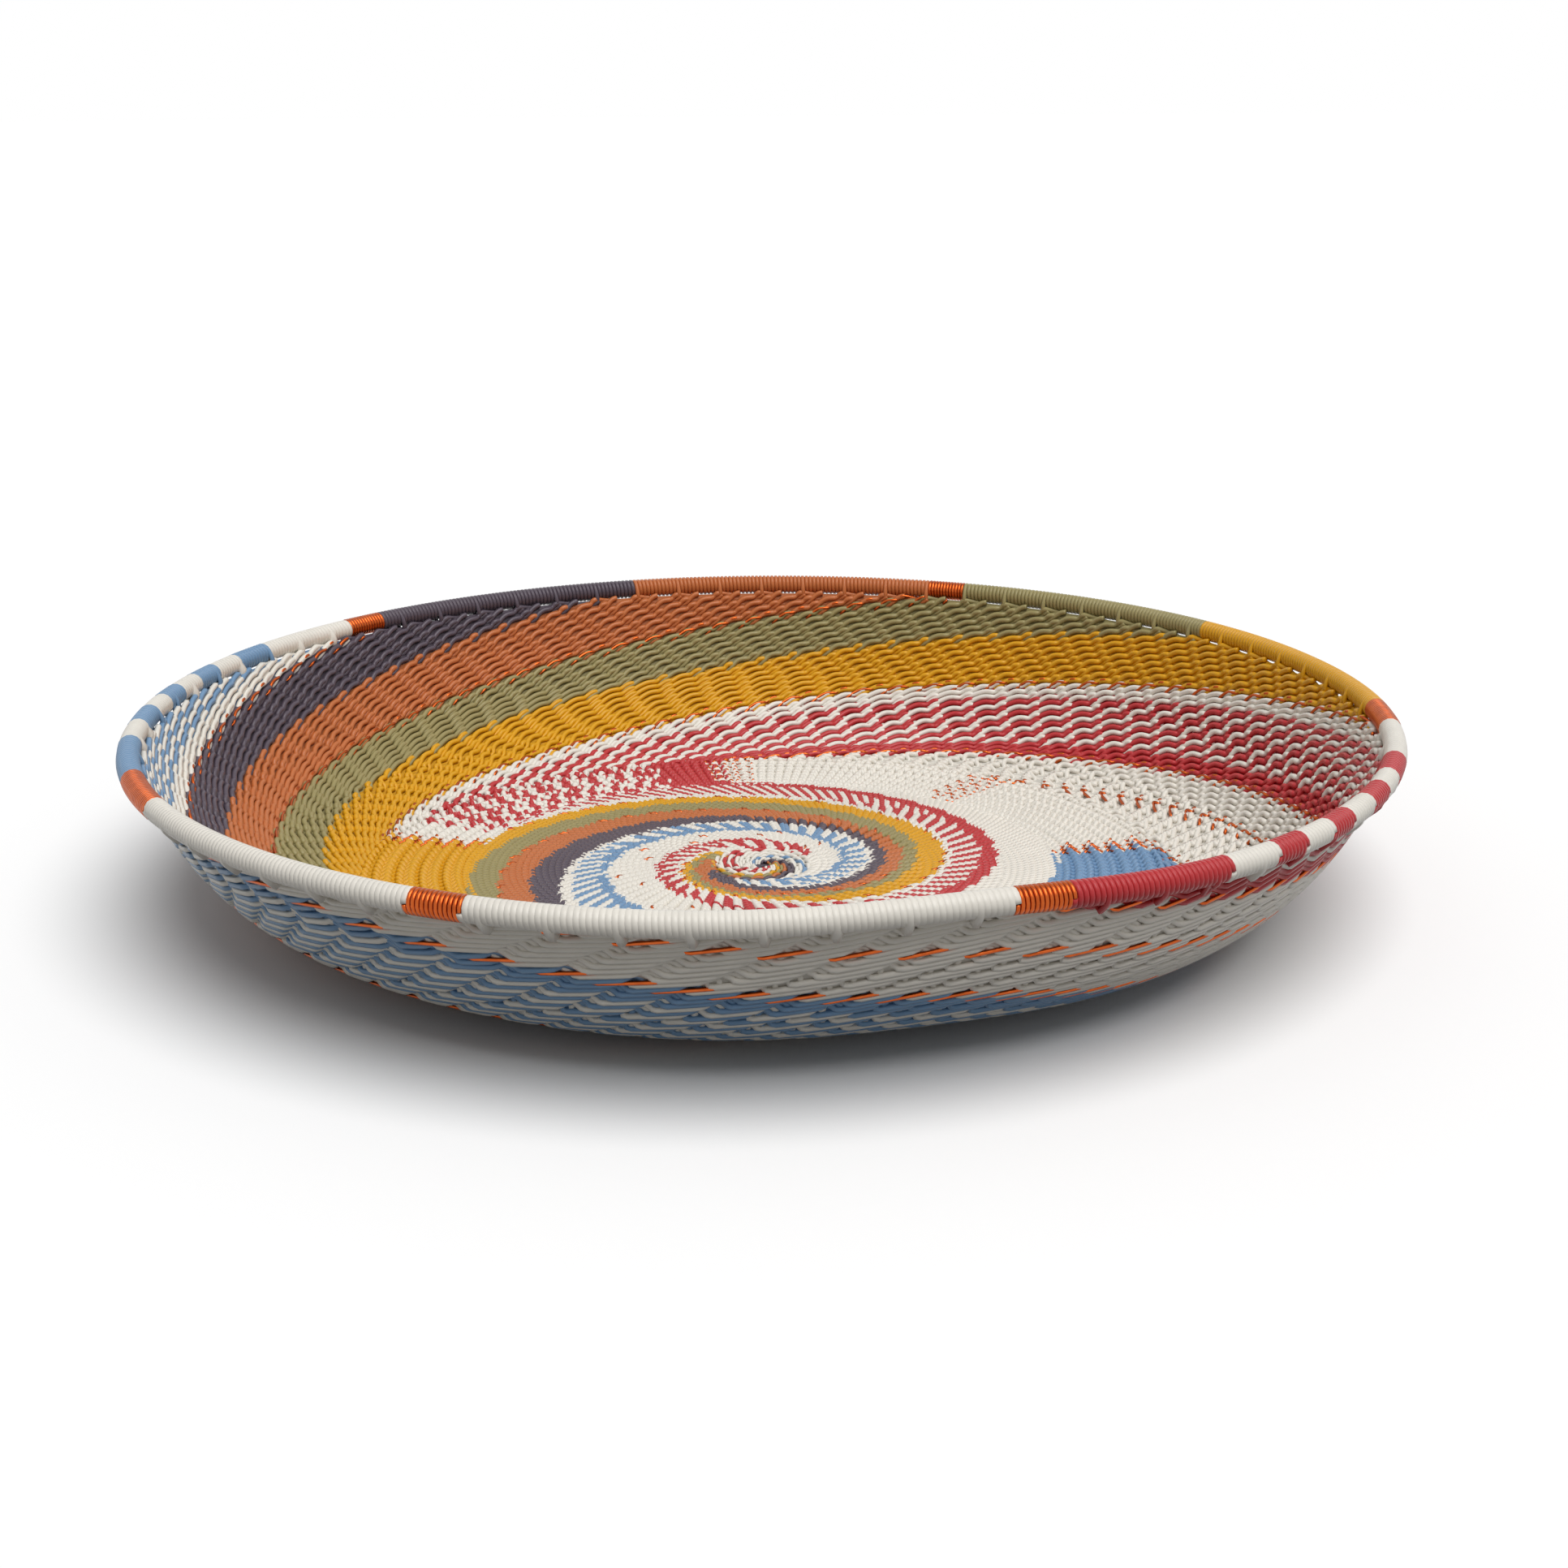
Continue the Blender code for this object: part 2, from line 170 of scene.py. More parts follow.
def bandAt(angle, share):
    # the band at a place, and how far into it the place is, from 0 to 1
    for name in bandOrder:
        start, end = bandSpan(name, share)
        into = (angle - float(start)) % 360.0
        if into < end - start:
            return name, into / float(end - start)
    return bandOrder[-1], 1.0


def bandColour(name):
    return "white" if name.startswith("white") else name


# Wires as tubes.
class Tubes:
    # gathers round wires, then makes one mesh of them
    def __init__(self):
        self.points = []
        self.faces = []
        self.count = 0

    def addFaces(self, points, quads):
        self.points.append(points)
        self.faces.append(quads + self.count)
        self.count += len(points)

    def add(self, centres, normals, radius):
        centres = np.asarray(centres, dtype=float)
        along = np.gradient(centres, axis=0)
        along /= np.linalg.norm(along, axis=1)[:, None]
        up = normals - along * np.sum(normals * along, axis=1)[:, None]
        up /= np.linalg.norm(up, axis=1)[:, None]
        side = np.cross(along, up)
        turns = 2 * np.pi * (np.arange(wireSides) + 0.5) / wireSides
        ring = (np.cos(turns)[None, :, None] * up[:, None, :]
                + np.sin(turns)[None, :, None] * side[:, None, :])
        radii = np.broadcast_to(np.asarray(radius, dtype=float), (len(centres),))
        skin = centres[:, None, :] + ring * radii[:, None, None]
        at = np.arange(len(centres) * wireSides).reshape(len(centres), wireSides)
        after = np.roll(at, -1, axis=1)
        quads = np.stack([at[:-1], after[:-1], after[1:], at[1:]], axis=-1).reshape(-1, 4)
        # a fan of triangles closes each end; its last corner is written twice
        tips = at.size + np.arange(2)
        fans = []
        for tip, loop in zip(tips, (at[0][::-1], at[-1])):
            centre = np.full(wireSides, tip)
            fans.append(np.stack([loop, np.roll(loop, -1), centre, centre], axis=-1))
        points = np.vstack([skin.reshape(-1, 3), centres[[0, -1]]])
        self.addFaces(points, np.vstack([quads] + fans))

    def build(self, name, material):
        points = np.vstack(self.points)
        faces = np.vstack(self.faces)
        four = faces[:, 2] != faces[:, 3]
        totals = np.where(four, 4, 3)
        keep = np.ones(faces.shape, dtype=bool)
        keep[~four, 3] = False
        starts = np.concatenate([[0], np.cumsum(totals)[:-1]])
        mesh = bpy.data.meshes.new(name)
        mesh.vertices.add(len(points))
        mesh.vertices.foreach_set("co", points.astype(np.float32).ravel())
        mesh.loops.add(int(totals.sum()))
        mesh.loops.foreach_set("vertex_index", faces[keep].astype(np.int32))
        mesh.polygons.add(len(faces))
        mesh.polygons.foreach_set("loop_start", starts.astype(np.int32))
        mesh.polygons.foreach_set("loop_total", totals.astype(np.int32))
        mesh.polygons.foreach_set("use_smooth", np.ones(len(faces), dtype=bool))
        mesh.update(calc_edges=True)
        mesh.validate()
        piece = bpy.data.objects.new(name, mesh)
        bpy.context.scene.collection.objects.link(piece)
        mesh.materials.append(material)
        return piece


def putOn(piece, node, slot):
    # the piece stands for a solid of the part and rides where that does
    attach(piece, "root")
    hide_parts(node)


# Materials.
def linearOf(red, green, blue):
    # a colour as it is seen, in 0 to 255, as Blender's linear colour
    return [value / 12.92 if value <= 0.04045 else ((value + 0.055) / 1.055) ** 2.4
            for value in (red / 255, green / 255, blue / 255)] + [1.0]


class Socket:
    def __init__(self, tree, output):
        self.tree = tree
        self.output = output

    def math(self, kind, other, swap=False):
        first, second = (other, self) if swap else (self, other)
        return self.tree.node("ShaderNodeMath", {"operation": kind}, {0: first, 1: second})

    def __add__(self, other): return self.math("ADD", other)
    def __radd__(self, other): return self.math("ADD", other, True)
    def __sub__(self, other): return self.math("SUBTRACT", other)
    def __rsub__(self, other): return self.math("SUBTRACT", other, True)
    def __mul__(self, other): return self.math("MULTIPLY", other)
    def __rmul__(self, other): return self.math("MULTIPLY", other, True)


class Tree:
    def __init__(self, name="look", owner=None):
        self.owner = owner or bpy.data.materials.new(name)
        self.owner.use_nodes = True
        self.nodes = self.owner.node_tree.nodes
        self.links = self.owner.node_tree.links
        self.shader = self.nodes.get("Principled BSDF")

    def set(self, node, values):
        for key, value in values.items():
            if isinstance(value, Socket):
                self.links.new(value.output, node.inputs[key])
            else:
                node.inputs[key].default_value = value

    def node(self, kind, settings=None, values=None, output=0):
        node = self.nodes.new(kind)
        for key, value in (settings or {}).items():
            setattr(node, key, value)
        self.set(node, values or {})
        return Socket(self, node.outputs[output])

    def noise(self, scale, detail):
        place = self.node("ShaderNodeTexCoord", output="Object")
        return self.node("ShaderNodeTexNoise", None,
                         {"Vector": place, "Scale": scale, "Detail": detail})

    def mix(self, share, low, high):
        return self.node("ShaderNodeMix", {"data_type": "RGBA"},
                         {"Factor": share, "A": low, "B": high}, output=2)

    def seen(self):
        # 1 where a ray comes from the camera, a reflection or glass
        kinds = ("Is Camera Ray", "Is Glossy Ray", "Is Transmission Ray")
        camera, glossy, clear = [self.node("ShaderNodeLightPath", output=kind) for kind in kinds]
        return camera + glossy + clear


# coated wire: its tone drifts a little from place to place
coating = {
    "variety": 0.10,
    "roughness": 0.34,
    "ior": 1.46,
    "specular": 0.35,
    "fineScale": 260.0,
    "broadScale": 42.0,
    "fineShare": 0.6,
    "detail": 2.0,
}
# painted shade: the inner crossing's colour is darkened for the shade of the wires above it
innerPaintedShade = {"shade": 0.88, "variety": 0.25, "roughness": 0.6}
metals = {
    "copper": {"dark": linearOf(150, 62, 24), "light": linearOf(206, 102, 48),
               "roughness": 0.30, "scale": 420.0, "detail": 3.0},
    "steel": {"dark": [0.36, 0.36, 0.35, 1.0], "light": [0.52, 0.52, 0.51, 1.0],
              "roughness": 0.42, "scale": 300.0, "detail": 3.0},
}
wireColours = {
    "mustard": (214, 156, 20),
    "olive": (150, 139, 92),
    "terracotta": (188, 108, 60),
    "plum": (84, 74, 84),
    "blue": (112, 146, 180),
    "white": (227, 222, 212),
    "red": (184, 50, 54),
}


def wireMaterial(name, colour, variety=coating["variety"], roughness=coating["roughness"]):
    tree = Tree(name)
    fine = tree.noise(coating["fineScale"], coating["detail"]) * coating["fineShare"]
    broad = tree.noise(coating["broadScale"], coating["detail"]) * (1 - coating["fineShare"])
    base = linearOf(*colour)[:3]
    darker = [value * (1 - variety) for value in base] + [1.0]
    lighter = [min(value * (1 + variety), 1.0) for value in base] + [1.0]
    tone = tree.mix(fine + broad, darker, lighter)
    tree.set(tree.shader, {"Base Color": tone, "Roughness": roughness, "IOR": coating["ior"],
                           "Specular IOR Level": coating["specular"]})
    return tree.owner


def metalMaterial(metal):
    tree = Tree(metal + "_wire_look")
    look = metals[metal]
    tone = tree.mix(tree.noise(look["scale"], look["detail"]), look["dark"], look["light"])
    tree.set(tree.shader, {"Base Color": tone, "Metallic": 1.0, "Roughness": look["roughness"]})
    return tree.owner


materials = {}
for name, colour in wireColours.items():
    materials[name] = wireMaterial(name + "_wire_look", colour)
for metal in metals:
    materials[metal] = metalMaterial(metal)
# painted shade: each band gets a darkened copy of its wire look for the inner layer
innerPaintedShadeMaterials = {}
for band in bandOrder:
    shaded = [value * innerPaintedShade["shade"] for value in wireColours[bandColour(band)]]
    innerPaintedShadeMaterials[band] = wireMaterial(band + "_inner_painted_shade_look", shaded, innerPaintedShade["variety"],
                                        innerPaintedShade["roughness"])
print("stage: materials made")

# One strand of the weave.
# Points over one period, in wire diameters: along the row, up the wall, and towards
# the inside. The last number is how many short lengths follow the point.
strandShape = [
    (0.00, 0.00, 0.55, 2),
    (0.90, 0.06, 0.52, 2),
    (1.60, 0.30, 0.16, 2),
    (2.30, 0.92, 0.26, 2),
    (2.90, 1.30, 0.53, 2),
    (3.50, 1.46, 0.53, 2),
    (4.05, 1.50, 0.28, 1),
    (4.55, 1.48, -0.16, 1),
    (5.20, 1.40, -0.46, 1),
    (6.20, 1.20, -0.55, 1),
    (8.20, 0.80, -0.55, 1),
    (10.30, 0.42, -0.55, 1),
    (11.40, 0.16, -0.53, 1),
    (12.10, 0.14, -0.34, 1),
    (12.80, 0.48, 0.04, 2),
    (13.50, 1.12, 0.26, 2),
    (14.20, 1.78, 0.36, 2),
    (15.00, 2.35, 0.46, 2),
    (15.70, 2.68, 0.54, 2),
]
weave = {
    "diameter": 0.0011,
    "chainStep": 8.2,      # from one chain to the next, in diameters
    "rowStep": 1.42,       # from one row to the next, in diameters
    "halfSpacing": 4.75,   # half of what a float spans, in diameters
    "highest": 0.50,       # most that a wire leaves the middle, in diameters
    "lowRadius": 0.00064,
    "crestRadius": 0.00074,
    "crestHeight": 0.0004,
    "wallFrom": 0.659,
    "wallPitch": 0.0109,
    "wallRows": 39,
    "ringPitch": 0.0095,
    "ringRows": 17,
}


def shapePoint(index):
    laps, rest = divmod(index, len(strandShape))
    lap = np.array([2 * weave["chainStep"], 2 * weave["rowStep"], 0.0])
    return np.array(strandShape[rest][:3]) + laps * lap


def smoothPeriod():
    # the shape run through a smooth curve: rows, half spans, heights
    curve = []
    for at in range(len(strandShape)):
        before, here, after, beyond = [shapePoint(at + step) for step in (-1, 0, 1, 2)]
        pieces = strandShape[at][3]
        for part in range(pieces):
            t = part / pieces
            curve.append(0.5 * (2 * here + (after - before) * t
                                + (2 * before - 5 * here + 4 * after - beyond) * t * t
                                + (3 * here - before - 3 * after + beyond) * t ** 3))
    curve = np.array(curve)
    rows = curve[:, 1] / weave["rowStep"]
    halves = (curve[:, 0] - weave["chainStep"] * rows) / weave["halfSpacing"]
    heights = np.clip(curve[:, 2], -weave["highest"], weave["highest"]) * weave["diameter"]
    return rows, halves, heights


periodRows, periodHalves, periodHeights = smoothPeriod()


def crestRadii(heights):
    # the wire looks fuller where it lies on top
    fuller = smoothStep(0.0, weave["crestHeight"], heights)
    return weave["lowRadius"] + (weave["crestRadius"] - weave["lowRadius"]) * fuller


# Inner crossings: a thin closed layer between the floats, coloured in painted shade.
# it stands partly for the wires behind the gaps and partly for the shade that fills them
liner = {
    "thickness": 0.0001,
    "across": 90,
    "along": 60,
    "wallTo": 1.083,
    "floorGap": 0.004,   # between the floor's layers and the ring's
}


def closedLayer(angle, share):
    # both faces and the edge over a grid of angles and shares
    across, along = angle.shape
    layers = [onShell(angle, share, level)[0] for level in (0.0, -liner["thickness"])]
    points = np.concatenate([layer.reshape(-1, 3) for layer in layers])
    top = np.arange(across * along).reshape(across, along)
    under = top + across * along
    upper = np.stack([top[:-1, :-1], top[1:, :-1], top[1:, 1:], top[:-1, 1:]], axis=-1)
    lower = np.stack([under[:-1, :-1], under[:-1, 1:], under[1:, 1:], under[1:, :-1]], axis=-1)
    loop = np.concatenate([top[:-1, 0], top[-1, :-1], top[1:, -1][::-1], top[0, 1:][::-1]])
    following = np.roll(loop, -1)
    edge = np.stack([loop, loop + across * along, following + across * along, following], axis=-1)
    return points, np.concatenate([upper.reshape(-1, 4), lower.reshape(-1, 4), edge])


def bandLiner(band, lowShare, highShare, span):
    shares = np.linspace(lowShare, highShare, liner["along"])
    low, high = span(band, shares)
    into = np.linspace(0.0, 1.0, liner["across"])[:, None]
    angle = low[None, :] + (high - low)[None, :] * into
    tubes = Tubes()
    tubes.addFaces(*closedLayer(angle, np.broadcast_to(shares[None, :], angle.shape)))
    return tubes


# Wall: chains of two strands that cross each other.
# The lean of the chains is the angle of the mustard band's start, by share. The other
# bands start so many degrees after it, at five shares.
wallLean = [(0.659, 171.0), (0.90, 66.0), (1.09, -6.2)]
wallShares = [0.68, 0.80, 0.92, 1.00, 1.09]
wallStarts = {
    "mustard": [0, 0, 0, 0, 0],
    "olive": [36, 45, 40, 40, 38],
    "terracotta": [68, 78, 76, 74, 74],
    "plum": [98, 112, 115, 113, 114],
    "blue": [126, 142, 149, 148, 147],
    "white_left": [196, 220, 232, 231, 219],
    "white_front": [236, 255, 265, 268, 260],
    "red": [286, 286, 294, 301, 297],
}
wallChains = {
    "mustard": ["mustard"] * 8,
    "olive": ["olive"] * 7,
    "terracotta": ["terracotta"] * 8,
    "plum": ["plum"] * 7,
    "blue": ["white"] * 3 + ["blue", "white"] * 5 + ["blue"] * 3,
    "white_left": ["white"] * 6,
    "white_front": ["white"] * 6,
    "red": ["red"] * 3 + ["white", "red"] * 4 + ["white"] * 3,
}
# copper wires along the start of these bands
wallCopper = {
    "bands": ["mustard", "terracotta", "blue", "white_left", "white_front", "red"],
    "radius": 0.00041,
    "raised": 0.00045,
    "raisedOutside": 0.4,
}


def wallSpan(band, share):
    # where a band starts and ends on the wall
    follower, lap = nextBand(band)
    lean = np.interp(share, [entry[0] for entry in wallLean], [entry[1] for entry in wallLean])
    start = np.interp(share, wallShares, wallStarts[band])
    end = np.interp(share, wallShares, wallStarts[follower]) + lap
    return lean + start, lean + end


def wallStrand(band, chain, parity, copper=False):
    starts = range(-2 + parity, weave["wallRows"] + 2, 2)
    rows = np.concatenate([start + periodRows for start in starts])
    halves = np.tile(periodHalves, len(starts))
    heights = np.tile(periodHeights, len(starts))
    keep = (rows >= 0) & (rows <= weave["wallRows"])
    rows, halves, heights = rows[keep], halves[keep], heights[keep]
    share = weave["wallFrom"] + weave["wallPitch"] * rows
    start, end = wallSpan(band, share)
    width = (end - start) / len(wallChains[band])
    angle = start + width * (chain + 0.5) - halves * width / 2
    if not copper:
        return *onShell(angle, share, heights), crestRadii(heights)
    raised = np.where(heights > 0, 1.0, -wallCopper["raisedOutside"]) * wallCopper["raised"]
    return *onShell(angle, share, heights + raised), wallCopper["radius"]


for band in bandOrder:
    node = band + "_wall"
    colours = wallChains[band]
    for colour in dict.fromkeys(colours):
        tubes = Tubes()
        for chain, used in enumerate(colours):
            if used == colour:
                for parity in (0, 1):
                    tubes.add(*wallStrand(band, chain, parity))
        label = node + "_weave" + ("_" + colour if len(set(colours)) > 1 else "")
        putOn(tubes.build(label, materials[colour]), node, colour + "_wire")
    ringStart = weave["wallFrom"] - weave["ringPitch"] * weave["ringRows"]
    tubes = bandLiner(band, ringStart, liner["wallTo"], wallSpan)
    putOn(tubes.build(node + "_inner", innerPaintedShadeMaterials[band]), node, colours[0] + "_wire")
    if band in wallCopper["bands"]:
        tubes = Tubes()
        for parity in (0, 1):
            tubes.add(*wallStrand(band, -0.5, parity, copper=True))
        putOn(tubes.build(node + "_copper", materials["copper"]), node, "copper_wire")
print("stage: wall woven")

# Short floats, for the floor and the ring: one crossing of the strand's shape, with its
# ends under its neighbours.
shortFloat = {
    "startAt": -4.9,
    "endAt": 11.6,
    "crestFrom": 0.0002,
    "copperShift": 0.002,
}


def floatShape():
    # every second point is enough here
    rows = np.concatenate([periodRows - 2, periodRows])
    halves = np.concatenate([periodHalves, periodHalves])
    heights = np.concatenate([periodHeights, periodHeights])
    along = rows * weave["chainStep"] + halves * weave["halfSpacing"]
    keep = (along >= shortFloat["startAt"]) & (along <= shortFloat["endAt"])
    return rows[keep][::2], along[keep][::2], heights[keep][::2]


floatRows, floatAlong, floatHeights = floatShape()
floatCrest = floatHeights > shortFloat["crestFrom"]


def floatUnit(share):
    # degrees that one wire diameter takes at a share
    return math.degrees(weave["diameter"] / tray["rimRadius"] / share)


def addFloat(tubesOf, key, angle, shares, heights):
    points, normals = onShell(angle, shares, heights)
    tubesOf.setdefault(key, Tubes()).add(points, normals, crestRadii(floatHeights))


def addCopper(tubesOf, band, angle, shares, heights, crest, look):
    # a thin copper wire on the crest of a float
    points, normals = onShell(angle[crest], shares[crest] + shortFloat["copperShift"],
                              heights[crest] + look["raised"])
    tubesOf.setdefault((band, "copper"), Tubes()).add(points, normals, look["radius"])


def buildBands(tubesOf, part, node):
    for (band, colour), tubes in tubesOf.items():
        putOn(tubes.build(band + part + colour, materials[colour]), band + node, colour + "_wire")


# Floor.
floor = {
    "from": 0.085,
    "to": 0.505,
    "pitch": 0.0108,
    "squeeze": 0.25,
    "rowShare": 0.78,
    "columnShift": 0.82,
    "columns": 240,
    # columns drop out on the way in: up to a share, the part of them that is left
    "columnsLeft": [(0.125, 0.167), (0.27, 0.333), (0.40, 0.667)],
}
floorCopper = {
    "radius": 0.00034,
    "raised": 0.0005,
    "crestTo": 0.9,
    # in every third column along the start of two bands
    "bands": ["terracotta", "mustard"],
    "edge": 0.16,
    "every": 3,
    # and as flecks strewn over the inner whites
    "fleckBands": ["white_left", "white_front"],
    "fleckTo": 0.30,
    "fleckStep": (7, 3),
    "fleckEvery": 23,
}
# checked bands: plain colour up to the first part, stripes, plain colour from the second
floorChecks = {
    "red": ("red", 0.24, 0.82, "white"),
    "blue": ("white", 0.16, 0.74, "blue"),
}


def floorColour(band, part, odd):
    if band not in floorChecks:
        return bandColour(band)
    first, stripesFrom, stripesTo, last = floorChecks[band]
    if part < stripesFrom:
        return first
    if part > stripesTo:
        return last
    return band if odd else "white"


def columnsAt(share):
    left = [part for upTo, part in floor["columnsLeft"] if share <= upTo]
    count = int(floor["columns"] * (left[0] if left else 1.0))
    return count - count % 2


floorTubes = {}
for row in range(int((floor["to"] - floor["from"]) / floor["pitch"])):
    share = floor["to"] - floor["pitch"] * (row + 1)
    shares = share + floor["pitch"] * floor["rowShare"] * floatRows
    unit = floatUnit(share) * floor["squeeze"]
    columns = columnsAt(share)
    for at in range(columns):
        middle = 360.0 * (at + 0.5) / columns - floor["columnShift"] * row
        angle = middle + unit * floatAlong
        band, part = bandAt(middle, share)
        colour = floorColour(band, part, at % 2 == 1)
        addFloat(floorTubes, (band, colour), angle, shares, floatHeights)
        edge = (band in floorCopper["bands"] and part < floorCopper["edge"]
                and at % floorCopper["every"] == 0)
        strewn = floorCopper["fleckStep"][0] * row + floorCopper["fleckStep"][1] * at
        fleck = (band in floorCopper["fleckBands"] and share < floorCopper["fleckTo"]
                 and strewn % floorCopper["fleckEvery"] == 0)
        if edge or fleck:
            crest = floatCrest & (floatRows < floorCopper["crestTo"])
            addCopper(floorTubes, band, angle, shares, floatHeights, crest, floorCopper)
buildBands(floorTubes, "_floor_weave_", "_floor")
for band in bandOrder:
    tubes = bandLiner(band, floor["from"], floor["to"] - liner["floorGap"], bandSpan)
    putOn(tubes.build(band + "_floor_inner", innerPaintedShadeMaterials[band]), band + "_floor",
          bandColour(band) + "_wire")
print("stage: floor woven")

# The ring where the floor meets the wall. Its rows turn back and forth in pairs, so that
# colour changes end in teeth, and each pair stands up as a rib.
ring = {
    "columns": 200,
    "squeeze": 0.27,
    "rowShare": 0.95,
    "rowMiddle": 0.6,
    "teeth": 4.6,
    "stripe": 2.5,
    "bow": 11.0,
    "rib": 0.00038,
    "ribShift": 0.1,
    "lowest": -0.00054,
}
ringCopper = {
    "radius": 0.00036,
    "raised": 0.00055,
    "reach": 0.28,    # of a tooth, to each side of a colour change
    "changes": [{"white", "mustard"}, {"blue", "white"}, {"plum", "blue stripes"}],
}
# from one angle to the next, what is woven there
ringPatches = [
    (-63.0, -14.0, "blue stripes"), (-14.0, 5.5, "blue"), (5.5, 42.5, "white"),
    (42.5, 50.5, "speckled"), (50.5, 92.5, "white"), (92.5, 94.5, "copper line"),
    (94.5, 96.8, "white"), (96.8, 98.6, "copper line"), (98.6, 111.0, "red"),
    (111.0, 158.0, "red stripes"), (158.0, 168.0, "white"), (168.0, 204.0, "mustard"),
    (204.0, 236.0, "olive"), (236.0, 266.0, "terracotta"), (266.0, 297.0, "plum"),
]


def ringPatch(angle):
    for low, high, patch in ringPatches:
        if (angle - low) % 360.0 < high - low:
            return patch
    return "white"


def ringWire(angle, row, at):
    # colour of a float, and whether a copper wire lies on it; a tooth takes four rows
    toothed = angle + ring["teeth"] * (abs((row / 2.0) % 2.0 - 1.0) - 0.5)
    near = ring["teeth"] * ringCopper["reach"]
    beside = {ringPatch(toothed - near), ringPatch(toothed + near)}
    copper = beside in ringCopper["changes"]
    patch = ringPatch(toothed)
    if patch.endswith("stripes"):
        into = (row + 0.5) / weave["ringRows"]
        bowed = angle - ring["bow"] * (1 - (2 * into - 1) ** 2)
        odd = int(bowed // ring["stripe"]) % 2 == 1
        return (patch.split()[0] if odd else "white"), copper
    if patch == "speckled":
        return "white", (row + at) % 2 == 0
    if patch == "copper line":
        return "white", row % 2 == 0 or at % 2 == 0
    return patch, copper


ringTubes = {}
for row in range(weave["ringRows"]):
    share = weave["wallFrom"] - weave["ringPitch"] * (row + ring["rowMiddle"])
    shares = share + weave["ringPitch"] * ring["rowShare"] * (floatRows - 0.5)
    turning = 1.0 if (row // 2) % 2 else -1.0
    along = turning * floatUnit(share) * ring["squeeze"] * (floatAlong - 0.5 * weave["chainStep"])
    rowsIn = (weave["wallFrom"] - shares) / weave["ringPitch"]
    ribs = ring["rib"] * np.cos(math.pi * (rowsIn - ring["ribShift"]))
    heights = np.maximum(floatHeights + ribs, ring["lowest"])
    for at in range(ring["columns"]):
        middle = 360.0 * (at + 0.5 * (row % 2)) / ring["columns"]
        colour, copper = ringWire(middle, row, at)
        band = bandAt(middle, share)[0]
        addFloat(ringTubes, (band, colour), middle + along, shares, heights)
        if copper:
            addCopper(ringTubes, band, middle + along, shares, heights, floatCrest, ringCopper)
buildBands(ringTubes, "_ring_weave_", "_wall")
print("stage: ring woven")

# First knot. Its strands turn the other way from the floor's, and each goes over and
# under its neighbours.
knot = {
    "strands": 18,
    "radius": 0.00056,
    "endRadius": 0.00034,
    "rise": 0.0001,
    "reach": 0.098,
    "hole": 0.014,
    "swirl": 2900.0,     # degrees for a whole share
    "offset": 12.0,
    "floats": 8.0,
    "wave": 0.00042,
    "shift": 0.31,
    "points": 96,
    "innerFrom": 0.002,
    "innerTo": 0.10,
    "innerAcross": 61,
    "innerAlong": 8,
}
knotTubes = {}
for at in range(knot["strands"]):
    into = np.linspace(0.0, 1.0, knot["points"])
    shares = np.linspace(knot["reach"], knot["hole"], knot["points"])
    begin = 360.0 * at / knot["strands"] + knot["offset"]
    angle = begin + knot["swirl"] * (knot["reach"] - shares)
    turns = knot["floats"] * into + 0.5 * knot["shift"] * at
    heights = knot["rise"] + knot["wave"] * np.sin(2.0 * math.pi * turns)
    points, normals = onShell(angle, shares, heights)
    colour = floorColour(*bandAt(begin, floor["from"]), at % 2 == 1)
    radii = knot["radius"] + (knot["endRadius"] - knot["radius"]) * into ** 2
    knotTubes.setdefault(colour, Tubes()).add(points, normals, radii)
for colour, tubes in knotTubes.items():
    putOn(tubes.build("start_" + colour, materials[colour]), "start_knot", colour + "_wire")
angle, share = np.meshgrid(np.linspace(0.0, 360.0, knot["innerAcross"]),
                           np.linspace(knot["innerFrom"], knot["innerTo"], knot["innerAlong"]),
                           indexing="ij")
tubes = Tubes()
tubes.addFaces(*closedLayer(angle, share))
putOn(tubes.build("start_inner", innerPaintedShadeMaterials["plum"]), "start_knot", "plum_wire")
print("stage: first knot laid")

# Rim.
rim = {
    "turns": 792,
    "perStitch": 11,
    "steps": 14,             # points on a turn
    "wireRadius": 0.00062,
    "whiteRadius": 0.00110,  # the white wire's turns are wider and sink into each other
    "outerRadius": 0.00055,
    "hoopGap": 0.00205,
    "copperRadius": 0.00048,
    "copperTurns": 990,
    "stitchReach": 0.0022,   # how far a stitch hangs below the other turns
    "stitchWidth": 0.5,      # of a turn, to each side
    "stitchLean": 0.35,
    "stitchOutside": 0.45,   # of the reach, on the outside of the rim
}
# angle at which each colour ends, going clockwise from the first
rimStart = 210.9
rimRuns = [
    ("copper_1", 201.9), ("blue_1", 190.6), ("white_1", 185.0), ("blue_2", 180.0),
    ("white_2", 176.0), ("blue_3", 172.2), ("white_3", 168.2), ("blue_4", 164.2),
    ("white_4", 160.0), ("blue_5", 154.8), ("white_5", 142.1), ("copper_2", 137.4),
    ("plum_1", 105.1), ("terracotta_1", 69.7), ("copper_3", 65.4), ("olive_1", 33.4),
    ("mustard_1", -1.2), ("copper_4", -8.2), ("white_6", -18.9), ("red_1", -24.2),
    ("white_7", -28.1), ("red_2", -32.3), ("white_8", -36.8), ("red_3", -40.4),
    ("white_9", -44.5), ("red_4", -48.2), ("white_10", -53.5), ("red_5", -67.8),
    ("copper_5", -72.2), ("white_11", -111.5), ("copper_6", -116.0), ("white_12", -149.1),
]


